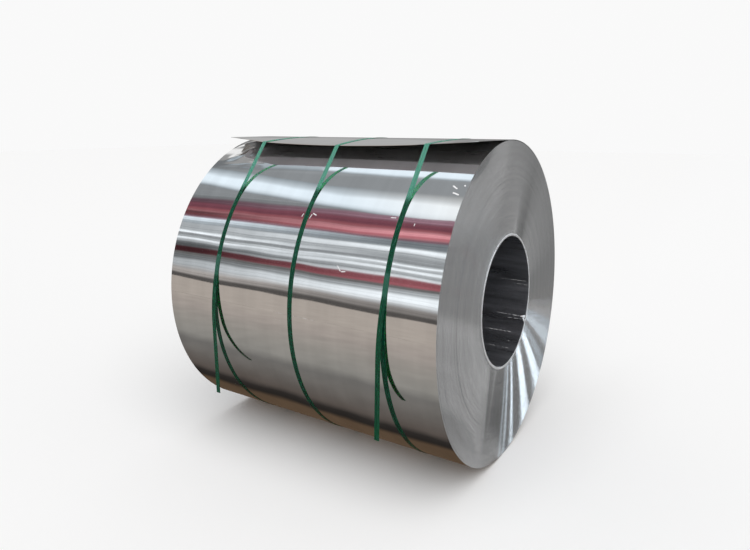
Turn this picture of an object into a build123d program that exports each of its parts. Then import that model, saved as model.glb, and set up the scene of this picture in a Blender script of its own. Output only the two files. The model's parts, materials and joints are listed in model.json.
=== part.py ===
from build123d import *
import os
from math import acos, asin, atan2, degrees, hypot, pi, radians, sin

# An aluminium strip coil lying on its side: bright strip wound round a bore, with the free tail of
# its outer lap sprung forward at the top, held by three plastic straps.
# Millimetres. The coil's axis lies along X, Z is up, the origin is the middle of the bore, and the
# tail and the strap ends are on the -Y side, called the front.

# Strip and winding
strip_width = 1200.0
strip_thickness = 1.5
bore_diameter = 505.0
coil_diameter = 1240.0
lap_groups = 12  # bands of laps that can be told apart on the ends
lap_wander = 1.2  # furthest that a band of laps has moved along the axis while it was wound

# Tail of the outer lap
tail_reach = 318.0  # from the top of the coil forward to the tail's cut edge
tail_drop = 24.0  # how far the straps pull the middle of that edge below its corners
tail_root = 0.8  # depth that the tail's root is let into the lap below it
corner_short = 62.0  # by how much the tail's damaged left corner falls short of the rest
corner_run = 240.0  # length of the cut edge that slants back to that corner

# Straps
strap_width = 19.0
strap_thickness = 1.0
strap_clearance = 0.3  # between a strap and the aluminium
strap_left_inset = 254.0  # from the left end of the coil to the left strap's middle
strap_right_inset = 192.0  # from the right end of the coil to the right strap's middle
strap_middle_offset = 22.0  # from the coil's middle to the middle strap

# Welded overlap and hanging end of a strap, with heights given as angles above the axis
weld_length = 70.0
left_weld_angle = 10.0
right_weld_angle = 12.0
end_spring = 5.0  # angle at which a strap's free end springs off its weld
end_lean = 1.5  # angle at which a hanging end leans back under the coil
end_bend_radius = 700.0
left_end_length = 480.0
right_end_length = 490.0

# Values that follow from these
bore_radius = bore_diameter / 2
coil_radius = coil_diameter / 2
half_width = strip_width / 2
build_up = coil_radius - bore_radius
group_height = build_up / lap_groups
sheet_top = coil_radius + strip_thickness
strap_inner = strap_clearance
strap_outer = strap_clearance + strap_thickness


def lap_shift(group):
    """Place along the axis of a band of laps. The first and the last band set the coil's width."""
    golden_turn = pi * (3 - 5**0.5)
    fade = sin(pi * group / (lap_groups - 1))
    return lap_wander * fade * sin(group * golden_turn)


def wound_laps():
    """Turned body of the coil, a step on each end for every band of laps but the outermost."""
    right, left = [], []
    for group in range(lap_groups - 1):
        inside = bore_radius + group * group_height
        outside = inside + group_height
        shift = lap_shift(group)
        right += [(half_width + shift, inside), (half_width + shift, outside)]
        left += [(shift - half_width, inside), (shift - half_width, outside)]
    section = make_face(Polyline(*right, *reversed(left), close=True))
    return revolve(Plane.XZ * section, Axis.X)


def outer_laps():
    """Outermost band, whose last lap climbs by one strip thickness round the back to a step on top."""
    front = CenterArc((0, 0), coil_radius, 90, 180)
    back = CenterArc((0, strip_thickness / 2), coil_radius + strip_thickness / 2, 270, 180)
    step = Line((0, sheet_top), (0, coil_radius))
    hole = Circle(coil_radius - group_height)
    return extrude(Plane.YZ * (make_face(front + back + step) - hole), half_width, both=True)


def drop_at(x):
    """Drop of the tail's front edge at a place along the coil, deepest in the middle."""
    return tail_drop * (1 - (x / half_width) ** 2)


def tail_section(reach, thickness):
    """Upright section of the tail across the whole strip, at a distance forward of the top."""
    drop = tail_drop * (reach / tail_reach) ** 2

    def across(top):
        return Bezier((-half_width, -reach, top), (0, -reach, top - 2 * drop), (half_width, -reach, top))

    upper, lower = across(sheet_top), across(sheet_top - thickness)
    sides = Line(upper @ 0, lower @ 0) + Line(upper @ 1, lower @ 1)
    return make_face(upper + lower + sides)


def missing_corner():
    """Wedge by which the tail's front left corner falls short, a little larger than what it takes off."""
    margin = strip_thickness
    slope = corner_short / corner_run
    front = -tail_reach - margin
    side = -half_width - margin
    outline = Polyline(
        (side, front),
        (corner_run - half_width + margin / slope, front),
        (side, corner_short - tail_reach + margin * slope),
        close=True,
    )
    height = tail_drop + 4 * strip_thickness
    return Pos(0, 0, sheet_top + margin - height) * extrude(make_face(outline), height)


def coil():
    """The strip as one piece: its laps and the tail that leaves the last of them."""
    tail = loft(
        [
            tail_section(0, strip_thickness + tail_root),
            tail_section(tail_reach / 2, strip_thickness),
            tail_section(tail_reach, strip_thickness),
        ]
    )
    return wound_laps() + outer_laps() + (tail - missing_corner())


def strap_line(gap, drop):
    """Area inside a line that runs round the coil and over the tail, a gap off the aluminium."""
    # The tail bends as a wide arc, and its front edge is turned round by a small one.
    sheet_radius = (tail_reach**2 + drop**2) / (2 * drop)
    sheet_turn = degrees(asin(tail_reach / sheet_radius))
    sheet_centre = Vector(0, sheet_top - sheet_radius)
    edge_radius = strip_thickness / 2
    edge = sheet_centre + Vector(sheet_radius - edge_radius, 0).rotate(Axis.Z, 90 + sheet_turn)

    # From the edge the strap runs straight to the coil, touching both arcs.
    towards_edge = degrees(atan2(edge.Y, edge.X))
    apart = degrees(acos((coil_radius - edge_radius) / hypot(edge.X, edge.Y)))
    touch = towards_edge + apart
    outward = Vector(1, 0).rotate(Axis.Z, touch)

    front = CenterArc((0, 0), coil_radius + gap, touch, 270 - touch)
    back = CenterArc((0, strip_thickness / 2), coil_radius + strip_thickness / 2 + gap, 270, 180)
    sheet = CenterArc(sheet_centre, sheet_radius + gap, 90, sheet_turn)
    bend = CenterArc(edge, edge_radius + gap, 90 + sheet_turn, touch - 90 - sheet_turn)
    run = Line(edge + outward * (edge_radius + gap), outward * (coil_radius + gap))
    return make_face(front + back + sheet + bend + run)


def hanging_end(weld_angle, length):
    """Second layer of strap over the weld, and the free end that springs off it and hangs down."""
    layer = coil_radius + strap_outer + strap_thickness / 2
    weld_end = 180 - weld_angle
    weld_turn = degrees(weld_length / layer)
    weld = trace(CenterArc((0, 0), layer, weld_end - weld_turn, weld_turn), strap_thickness)

    # The free end starts inside the weld by its own thickness, bends to the plumb and past it.
    start = Vector(layer, 0).rotate(Axis.Z, weld_end)
    heading = weld_end + 90 - end_spring
    along = Vector(1, 0).rotate(Axis.Z, heading)
    turn = 270 + end_lean - heading
    lead = Line(start - along * strap_thickness, start)
    bend = JernArc(start, along, end_bend_radius, turn)
    hang = Line(bend @ 1, bend @ 1 + (bend % 1) * (length - radians(turn) * end_bend_radius))
    return weld + trace(lead + bend + hang, strap_thickness)


def strap(x, end=None):
    """Strap round the coil at a place along it, with its welded and hanging end if it has one."""
    drop = drop_at(abs(x) + strap_width / 2)
    outline = strap_line(strap_outer, drop) - strap_line(strap_inner, drop)
    if end is not None:
        outline += end
    return Pos(x, 0, 0) * extrude(Plane.YZ * outline, strap_width / 2, both=True)


pieces = {
    "coil": coil(),
    "strap_left": strap(strap_left_inset - half_width, hanging_end(left_weld_angle, left_end_length)),
    "strap_middle": strap(strap_middle_offset),
    "strap_right": strap(half_width - strap_right_inset, hanging_end(right_weld_angle, right_end_length)),
}

os.makedirs("parts", exist_ok=True)
for name, piece in pieces.items():
    export_step(piece, f"parts/{name}.step")
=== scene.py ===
"""A coil of bright aluminium strip and the green straps round it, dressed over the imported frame."""

import json
import logging
import math
from dataclasses import dataclass
from enum import Enum, IntEnum
from typing import Union

import bmesh
import bpy
from mathutils import Euler, Matrix, Vector


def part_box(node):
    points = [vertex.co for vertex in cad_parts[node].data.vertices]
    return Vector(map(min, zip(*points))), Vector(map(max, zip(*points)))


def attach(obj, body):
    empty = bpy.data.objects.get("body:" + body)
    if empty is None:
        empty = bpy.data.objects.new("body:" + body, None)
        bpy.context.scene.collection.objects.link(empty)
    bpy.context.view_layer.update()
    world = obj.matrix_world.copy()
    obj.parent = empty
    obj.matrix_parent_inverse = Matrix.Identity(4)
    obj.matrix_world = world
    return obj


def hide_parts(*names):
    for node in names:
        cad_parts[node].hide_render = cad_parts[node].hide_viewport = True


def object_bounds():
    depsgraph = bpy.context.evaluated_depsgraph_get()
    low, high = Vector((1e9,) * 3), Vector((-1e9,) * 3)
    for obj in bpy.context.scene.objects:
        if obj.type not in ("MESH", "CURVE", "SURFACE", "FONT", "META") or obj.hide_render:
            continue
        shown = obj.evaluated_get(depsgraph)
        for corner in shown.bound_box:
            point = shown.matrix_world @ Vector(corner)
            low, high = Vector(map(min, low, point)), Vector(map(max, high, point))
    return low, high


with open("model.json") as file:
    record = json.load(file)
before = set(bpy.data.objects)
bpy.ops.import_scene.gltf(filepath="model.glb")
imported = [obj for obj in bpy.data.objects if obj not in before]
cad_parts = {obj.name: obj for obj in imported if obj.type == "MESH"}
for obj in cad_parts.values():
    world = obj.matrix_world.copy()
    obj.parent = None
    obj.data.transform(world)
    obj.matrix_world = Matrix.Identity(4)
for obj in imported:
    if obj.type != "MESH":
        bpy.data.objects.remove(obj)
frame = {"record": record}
cad_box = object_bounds()

log = logging.getLogger("coil")
Socket = bpy.types.NodeSocket
Material = bpy.types.Material
Mesh = bmesh.types.BMesh
Value = Union[float, tuple, Socket]

FULL_TURN = 2 * math.pi
GOLDEN_TURN = math.pi * (3 - math.sqrt(5))
AXLE = (1.0, 0.0, 0.0)
MIDDLE = Vector((0.0, 0.0, 0.0))
SHARP_ANGLE = math.radians(32)
NOISE_RANGE = (0.3, 0.7)  # where a noise's values mostly lie
WHITE = (1.0, 1.0, 1.0)
WARM = (1.0, 0.93, 0.89)
COOL = (0.92, 0.98, 1.03)
SKY = (0.85, 0.96, 1.05)
RED = (1.5, 0.48, 0.57)
DARK_RED = (1.6, 0.55, 0.75)
PINK = (1.0, 0.43, 0.48)
MAUVE = (1.3, 0.75, 0.95)


class Surface(IntEnum):
    """Sides of the strip with a finish of their own, in the order of a piece's materials."""

    WRAP = 0
    LAP_EDGES = 1
    BORE = 2
    UNDERSIDE = 3
    RIM = 4


class StrapEnd(Enum):
    """How a strap's free end shows."""

    HIDDEN = "hidden"
    HANGING = "hanging"


class Graph:
    """Adds and joins the nodes of one node tree."""

    def __init__(self, tree: bpy.types.NodeTree) -> None:
        """Keep the tree that the nodes go into."""
        self.tree = tree

    def feed(self, socket: Socket, value: Value) -> None:
        """Set a socket, or link it where the value is another node's output."""
        if isinstance(value, Socket):
            self.tree.links.new(value, socket)
        elif socket.type == "RGBA":
            socket.default_value = (*value, 1.0)
        else:
            socket.default_value = value

    def feed_all(self, node: bpy.types.Node, inputs: dict) -> None:
        """Set or link several of a node's sockets, by name or by number."""
        for name, value in inputs.items():
            self.feed(node.inputs[name], value)

    def node(self, kind: str, inputs: dict | None = None, **settings: object) -> bpy.types.Node:
        """Add a node.

        Args:
            kind: Blender's name for the node, without its leading ShaderNode.
            inputs: values or outputs for its sockets, by name or by number.
            settings: the node's own properties.

        Returns:
            The new node.
        """
        made = self.tree.nodes.new("ShaderNode" + kind)
        for name, value in settings.items():
            setattr(made, name, value)
        self.feed_all(made, inputs or {})
        return made

    def group(self, tree: bpy.types.NodeTree, inputs: dict | None = None) -> dict:
        """Add a shared node group and return its outputs by name."""
        made = self.node("Group", inputs, node_tree=tree)
        return {socket.name: socket for socket in made.outputs}

    def math(self, operation: str, *values: Value) -> Socket:
        """Add a Math node and return its output."""
        return self.node("Math", dict(enumerate(values)), operation=operation).outputs[0]

    def times(self, first: Value, *others: Value) -> Value:
        """Multiply values."""
        for other in others:
            first = self.math("MULTIPLY", first, other)
        return first

    def highest(self, first: Value, *others: Value) -> Value:
        """Highest of several values."""
        for other in others:
            first = self.math("MAXIMUM", first, other)
        return first

    def waves(self, value: Value, pitch: float) -> Socket:
        """Wave along a value, from -1 to 1, with the given pitch."""
        return self.math("SINE", self.times(value, FULL_TURN / pitch))

    def halved(self, wave: Value) -> Socket:
        """Bring a wave from the range of -1 to 1 into that of 0 to 1."""
        return self.math("MULTIPLY_ADD", wave, 0.5, 0.5)

    def vector_math(self, operation: str, *values: Value) -> bpy.types.Node:
        """Add a Vector Math node."""
        return self.node("VectorMath", dict(enumerate(values)), operation=operation)

    def scaled(self, vector: Value, factor: Value) -> Socket:
        """Multiply a vector or a colour by a value."""
        return self.node("VectorMath", {0: vector, 3: factor}, operation="SCALE").outputs[0]

    def vector(self, x: Value = 0.0, y: Value = 0.0, z: Value = 0.0) -> Socket:
        """Join three values to a vector."""
        return self.node("CombineXYZ", {0: x, 1: y, 2: z}).outputs[0]

    def parts(self, vector: Value) -> tuple:
        """Split a vector into its three values."""
        return tuple(self.node("SeparateXYZ", {0: vector}).outputs)

    def spot(self) -> Socket:
        """Place on the object."""
        return self.node("TexCoord").outputs["Object"]

    def stretched(self, place: dict, counts: tuple) -> Socket:
        """Place on the strip as a vector, in counts to the metre across the strip and along it."""
        return self.vector(self.times(place["Across"], counts[0]), self.times(place["Along"], counts[1]))

    def noise(self, vector: Value, scale: float = 1.0, detail: float = 2.0, rough: float = 0.5) -> Socket:
        """Add a Noise Texture and return its value."""
        sockets = {"Vector": vector, "Scale": scale, "Detail": detail, "Roughness": rough}
        return self.node("TexNoise", sockets).outputs[0]

    def noise_along(self, place: Value, scale: float, detail: float = 2.0) -> Socket:
        """Add a Noise Texture along one value, and return its own value."""
        sockets = {"W": place, "Scale": scale, "Detail": detail}
        return self.node("TexNoise", sockets, noise_dimensions="1D").outputs[0]

    def remap(self, value: Value, low: float, high: float, to_low: Value, to_high: Value) -> Socket:
        """Map a range of values to another one, held at its ends."""
        return self.node("MapRange", {0: value, 1: low, 2: high, 3: to_low, 4: to_high}).outputs[0]

    def spread(self, noise: Value, low: float, high: float) -> Socket:
        """Map the range that a noise's values mostly lie in to another one."""
        return self.remap(noise, *NOISE_RANGE, low, high)

    def rises(self, value: Value, low: float, high: float) -> Socket:
        """Smooth step of a value from 0 to 1, or back from 1 to 0 where the first end is the higher."""
        ends = {1: min(low, high), 2: max(low, high)}
        steps = {3: float(low > high), 4: float(low < high)}
        return self.node("MapRange", {0: value} | ends | steps, interpolation_type="SMOOTHSTEP").outputs[0]

    def ramp(self, value: Value, stops: tuple) -> Socket:
        """Add a Color Ramp of places from 0 to 1 with their colours, and return its colour."""
        made = self.node("ValToRGB", {0: value})
        elements = made.color_ramp.elements
        while len(elements) < len(stops):
            elements.new(1.0)
        for element, (place, colour) in zip(elements, stops):
            element.position = place
            element.color = (*colour, 1.0)
        return made.outputs[0]

    def mix(self, factor: Value, first: Value, second: Value) -> Socket:
        """Mix two values."""
        return self.node("Mix", {0: factor, 2: first, 3: second}).outputs[0]

    def blend(self, factor: Value, first: Value, second: Value) -> Socket:
        """Mix two colours."""
        return self.node("Mix", {0: factor, 6: first, 7: second}, data_type="RGBA").outputs[2]

    def bump(self, height: Value, depth: float, normal: Value | None = None) -> Socket:
        """Turn a height of 0 to 1 into a normal, for a relief of the given depth in metres."""
        sockets = {"Height": height, "Strength": 1.0, "Distance": depth}
        if normal is not None:
            sockets["Normal"] = normal
        return self.node("Bump", sockets).outputs[0]


def start_material(name: str, inputs: dict) -> tuple:
    """Make a material.

    Args:
        name: its name.
        inputs: values for its shader's sockets, by name.

    Returns:
        The material, its graph and its shader node.
    """
    material = bpy.data.materials.new(name)
    material.use_nodes = True
    graph = Graph(material.node_tree)
    shader = material.node_tree.nodes["Principled BSDF"]
    graph.feed_all(shader, inputs)
    return material, graph, shader


class SharedEffects:
    """Node groups that several finishes use."""

    def __init__(self) -> None:
        """Build each group once."""
        self.strip_place = self._strip_place()
        self.rolling_grain = self._rolling_grain()
        self.stroke = self._stroke()

    @staticmethod
    def _group(name: str, inputs: dict, outputs: tuple) -> tuple:
        """Make an empty node group.

        Args:
            name: the group's name.
            inputs: its inputs with their default values.
            outputs: the names of its outputs.

        Returns:
            The group, its graph, the sockets that give its inputs and those that take its outputs.
        """
        tree = bpy.data.node_groups.new(name, "ShaderNodeTree")
        for key, value in inputs.items():
            socket = tree.interface.new_socket(key, in_out="INPUT", socket_type="NodeSocketFloat")
            socket.default_value = value
        for key in outputs:
            tree.interface.new_socket(key, in_out="OUTPUT", socket_type="NodeSocketFloat")
        source = tree.nodes.new("NodeGroupInput")
        result = tree.nodes.new("NodeGroupOutput")
        return tree, Graph(tree), source.outputs, result.inputs

    def _strip_place(self) -> bpy.types.NodeTree:
        """Place on the wound strip, in metres: along it round the coil, across it, and from the axis."""
        tree, graph, _, result = self._group("Strip place", {}, ("Along", "Across", "Radius"))
        x, y, z = graph.parts(graph.spot())
        radius = graph.math("SQRT", graph.math("ADD", graph.times(y, y), graph.times(z, z)))
        graph.feed(result["Along"], graph.times(graph.math("ARCTAN2", z, y), radius))
        graph.feed(result["Across"], x)
        graph.feed(result["Radius"], radius)
        return tree

    def _rolling_grain(self) -> bpy.types.NodeTree:
        """Fine lines along the strip that its rolls left, as a value about 0.5."""
        sizes = {"Along": 0.0, "Across": 0.0, "Lines": 260.0, "Stretch": 0.012}
        tree, graph, source, result = self._group("Rolling grain", sizes, ("Grain", "Broad"))
        across = graph.times(source["Across"], source["Lines"])
        along = graph.times(source["Along"], source["Lines"], source["Stretch"])
        graph.feed(result["Grain"], graph.noise(graph.vector(across, along), 1.0, 3.0, 0.6))
        wide = graph.vector(graph.times(across, 0.05), graph.times(along, 0.12))
        graph.feed(result["Broad"], graph.noise(wide))
        return tree

    def _stroke(self) -> bpy.types.NodeTree:
        """Mask of one straight scratch, by its middle, its half sizes and its slant in radians."""
        places = {"Along": 0.0, "Across": 0.0, "Middle along": 0.0, "Middle across": 0.0}
        sizes = {"Half length": 0.01, "Half width": 0.001, "Slant": 0.0}
        tree, graph, source, result = self._group("Stroke", places | sizes, ("Mask",))
        up = graph.math("SUBTRACT", source["Along"], source["Middle along"])
        aside = graph.math("SUBTRACT", source["Across"], source["Middle across"])
        sine, cosine = graph.math("SINE", source["Slant"]), graph.math("COSINE", source["Slant"])
        length = graph.math("ADD", graph.times(aside, cosine), graph.times(up, sine))
        width = graph.math("SUBTRACT", graph.times(up, cosine), graph.times(aside, sine))
        ragged = graph.noise(graph.vector(source["Across"], source["Along"]), 420.0, 1.0)
        off_line = graph.math("DIVIDE", graph.math("ABSOLUTE", width), source["Half width"])
        off_end = graph.math("DIVIDE", graph.math("ABSOLUTE", length), source["Half length"])
        thin = graph.rises(graph.math("DIVIDE", off_line, graph.spread(ragged, 0.55, 1.15)), 1.0, 0.5)
        graph.feed(result["Mask"], graph.times(thin, graph.rises(off_end, 1.0, 0.7)))
        return tree


@dataclass(frozen=True)
class Stroke:
    """A bright scratch, by its place along the coil and its angle in degrees from the back over the top."""

    across: float
    angle: float
    half_length: float
    half_width: float
    slant: float = 0.0

    def mask(self, graph: Graph, effects: SharedEffects, place: dict, radius: float) -> Socket:
        """Mask of the scratch on a face of the strip.

        Args:
            graph: the material's graph.
            effects: the shared node groups.
            place: sockets for the place on the strip.
            radius: the face's distance from the coil's axis.

        Returns:
            The mask's socket.
        """
        sockets = {
            "Along": place["Along"],
            "Across": place["Across"],
            "Middle along": math.radians(self.angle) * radius,
            "Middle across": self.across,
            "Half length": self.half_length,
            "Half width": self.half_width,
            "Slant": math.radians(self.slant),
        }
        return graph.group(effects.stroke, sockets)["Mask"]


@dataclass(frozen=True)
class MetalFinish:
    """Rolled aluminium, with the lobe of its gloss drawn out across the lines in it."""

    name: str
    colour: tuple
    roughness: float
    drawn_out: float = 0.0
    strokes: tuple = ()
    stroke_colour: tuple = (0.93, 0.93, 0.94)
    radius: float = 0.62
    tones: tuple = (0.94, 1.04)

    def start(self) -> tuple:
        """Make the material with its shader.

        Returns:
            The material, its graph and its shader node.
        """
        sockets = {"Metallic": 1.0, "Base Color": self.colour, "Roughness": self.roughness}
        material, graph, shader = start_material(self.name, sockets)
        if self.drawn_out:
            round_axis = graph.node("Tangent", direction_type="RADIAL", axis="X").outputs[0]
            drawn = {"Anisotropic": self.drawn_out, "Anisotropic Rotation": 0.25, "Tangent": round_axis}
            graph.feed_all(shader, drawn)
        return material, graph, shader

    def scratched(self, graph: Graph, effects: SharedEffects, place: dict) -> Value:
        """Mask of all the scratches, at a place on the strip."""
        masks = [stroke.mask(graph, effects, place, self.radius) for stroke in self.strokes]
        return graph.highest(0.0, *masks)


@dataclass(frozen=True)
class BrightFinish(MetalFinish):
    """Bright rolled face of the strip: a mirror with faint lines, shallow waves and a few scuffs."""

    wave_counts: tuple = (3.0, 7.0)
    wave_depth: float = 0.0012
    grain_depth: float = 0.000004
    grain_range: tuple = (0.25, 0.75)
    gloss_range: tuple = (0.7, 1.35)
    scuff_roughness: float = 0.4

    def build(self, effects: SharedEffects) -> Material:
        """Make the material."""
        material, graph, shader = self.start()
        place = graph.group(effects.strip_place)
        sockets = {"Along": place["Along"], "Across": place["Across"]}
        grain = graph.group(effects.rolling_grain, sockets)
        scuff = self.scratched(graph, effects, place)
        tone = graph.scaled(self.colour, graph.spread(grain["Broad"], *self.tones))
        glosses = [self.roughness * share for share in self.gloss_range]
        gloss = graph.remap(grain["Grain"], *self.grain_range, *glosses)
        waved = graph.bump(graph.noise(graph.stretched(place, self.wave_counts), 1.0, 1.0), self.wave_depth)
        dressed = {
            "Base Color": graph.blend(scuff, tone, self.stroke_colour),
            "Metallic": graph.math("SUBTRACT", 1.0, scuff),
            "Roughness": graph.math("ADD", gloss, graph.times(scuff, self.scuff_roughness)),
            "Normal": graph.bump(grain["Grain"], self.grain_depth, waved),
        }
        graph.feed_all(shader, dressed)
        return material


@dataclass(frozen=True)
class LapEdgeFinish(MetalFinish):
    """Wound end of the coil: slit edges of the laps side by side, as rings of slightly different tone."""

    lap: float = 0.0015
    inner_turn: float = 46.0
    outer_turn: float = 0.0
    lap_tones: float = 0.16
    group_tones: float = 0.06
    specks: float = 90.0
    speck_range: tuple = (0.76, 0.8)
    speck_darkness: float = 0.6
    dirt: tuple = (0.12, 0.12, 0.12)

    def rounded(self, graph: Graph, radius: Socket) -> Socket:
        """Normal of the slit edges, each rounded over from its outer corner towards the coil's axis."""
        outward = graph.vector_math("MULTIPLY", graph.spot(), (0.0, 1.0, 1.0)).outputs[0]
        outward = graph.vector_math("NORMALIZE", outward).outputs[0]
        ways = {"vector_type": "VECTOR", "convert_from": "OBJECT", "convert_to": "WORLD"}
        outward = graph.node("VectorTransform", {0: outward}, **ways).outputs[0]
        within = graph.math("FRACT", graph.math("DIVIDE", radius, self.lap))
        turn = graph.remap(within, 0.0, 1.0, math.radians(-self.inner_turn), math.radians(-self.outer_turn))
        aside = graph.scaled(outward, graph.math("TANGENT", turn))
        normal = graph.node("NewGeometry").outputs["Normal"]
        rounded = graph.vector_math("ADD", normal, aside).outputs[0]
        return graph.vector_math("NORMALIZE", rounded).outputs[0]

    def build(self, effects: SharedEffects) -> Material:
        """Make the material."""
        material, graph, shader = self.start()
        radius = graph.group(effects.strip_place)["Radius"]
        laps = graph.noise_along(radius, self.lap_tones / self.lap, 1.0)
        groups = graph.noise_along(radius, self.group_tones / self.lap, 3.0)
        ring = graph.times(graph.math("ADD", laps, groups), 0.5)
        tone = graph.scaled(self.colour, graph.spread(ring, *self.tones))
        specks = graph.noise(graph.spot(), self.specks, 1.0)
        dark = graph.remap(specks, *self.speck_range, 0.0, self.speck_darkness)
        graph.feed(shader.inputs["Base Color"], graph.blend(dark, tone, self.dirt))
        graph.feed(shader.inputs["Normal"], self.rounded(graph, radius))
        return material


@dataclass(frozen=True)
class DullFinish(MetalFinish):
    """Inside face of the strip: dull, with streaks and scratches along the coil's axis.

    Past a distance forward of the coil's top it may be painted pale and matt, as painted light on the front
    edge of the tail's underside.
    """

    streaks: float = 0.5
    streak_counts: tuple = (2.6, 26.0)
    streak_depth: float = 0.00015
    bareness: float = 1.0
    gap_counts: tuple = (70.0, 300.0)
    gap_range: tuple = (0.40, 0.56)
    gloss_range: tuple = (0.8, 1.3)
    # where the painted light on the tail underside's front edge starts, how soft its edge is, and its pale
    # colour
    painted_light_past: float | None = None
    painted_light_edge: float = 0.010
    painted_light_and_wear: tuple = (0.96, 0.96, 0.97)

    def build(self, effects: SharedEffects) -> Material:
        """Make the material."""
        material, graph, shader = self.start()
        place = graph.group(effects.strip_place)
        streak = graph.noise(graph.stretched(place, self.streak_counts), 1.0, 5.0, 0.6)
        shade = graph.spread(streak, 1.0 - self.streaks, 1.0 + self.streaks * 0.6)
        tone, bare = graph.scaled(self.colour, shade), self.bareness
        # painted light: forward of the given place the colour turns pale and matt, standing in for light on
        # the tail underside's front edge
        if self.painted_light_past is not None:
            y = graph.parts(graph.spot())[1]
            painted_light_and_wear = graph.rises(y, -self.painted_light_past, -self.painted_light_past - self.painted_light_edge)
            tone = graph.blend(painted_light_and_wear, tone, self.painted_light_and_wear)
            bare = graph.remap(painted_light_and_wear, 0.0, 1.0, self.bareness, 0.0)
        if self.strokes:
            gaps = graph.noise(graph.stretched(place, self.gap_counts))
            scratch = graph.times(self.scratched(graph, effects, place), graph.rises(gaps, *self.gap_range))
            tone = graph.blend(scratch, tone, self.stroke_colour)
            bare = graph.times(graph.math("SUBTRACT", 1.0, scratch), bare)
        dressed = {
            "Base Color": tone,
            "Metallic": bare,
            "Roughness": graph.spread(streak, *[self.roughness * share for share in self.gloss_range]),
            "Normal": graph.bump(streak, self.streak_depth),
        }
        graph.feed_all(shader, dressed)
        return material


class StripFinishes:
    """Finishes of the strip's sides, with the scratches on two of them."""

    SCUFFS = (
        Stroke(0.556, 130.6, 0.0138, 0.0040, 35.0),
        Stroke(0.568, 133.2, 0.0148, 0.0042, 20.0),
        Stroke(0.588, 129.7, 0.0045, 0.0036, 41.0),
        Stroke(0.003, 145.9, 0.0076, 0.0022, -72.0),
        Stroke(0.055, 145.2, 0.0108, 0.0030, 21.0),
        Stroke(0.041, 146.1, 0.0112, 0.0021, -74.0),
        Stroke(0.217, 162.2, 0.0134, 0.0024, 49.0),
        Stroke(0.236, 163.0, 0.0104, 0.0024, -7.0),
        Stroke(0.378, 143.8, 0.0118, 0.0020, -2.0),
        Stroke(0.463, 145.5, 0.0056, 0.0019, -85.0),
    )
    SCRATCHES = (
        Stroke(0.500, -46.0, 0.066, 0.0020, 1.2),
        Stroke(0.535, -28.5, 0.065, 0.0018, -0.8),
        Stroke(0.560, -31.5, 0.040, 0.0014, 1.5),
        Stroke(0.535, 5.5, 0.065, 0.0013, 0.5),
        Stroke(0.565, 2.0, 0.035, 0.0012, -0.8),
        Stroke(0.525, -64.5, 0.052, 0.0016, -1.0),
        Stroke(0.560, -56.0, 0.004, 0.0024),
    )

    @classmethod
    def build(cls, effects: SharedEffects) -> list:
        """Make the materials, in the order of the sides."""
        worn = {"strokes": cls.SCRATCHES, "stroke_colour": (0.85, 0.85, 0.85), "radius": 0.25}
        # the tail underside gets painted light along its front edge, past 0.257 m forward of the coil's top
        tail = {"streaks": 0.1, "bareness": 0.78, "painted_light_past": 0.257}
        finishes = (
            BrightFinish("Bright strip", (0.86, 0.86, 0.855), 0.06, 0.35, cls.SCUFFS),
            LapEdgeFinish("Wound lap edges", (0.66, 0.665, 0.67), 0.13, 1.0),
            DullFinish("Bore lap", (0.42, 0.43, 0.46), 0.3, streaks=0.45, bareness=0.9, **worn),
            DullFinish("Tail underside", (0.66, 0.66, 0.66), 0.3, **tail),
            # near-white, partly matt rim of the bore, also used on the torn slivers
            DullFinish("Pale rim", (0.95, 0.95, 0.95), 0.42, streaks=0.1, bareness=0.6),
        )
        return [finish.build(effects) for finish in finishes]


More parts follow.
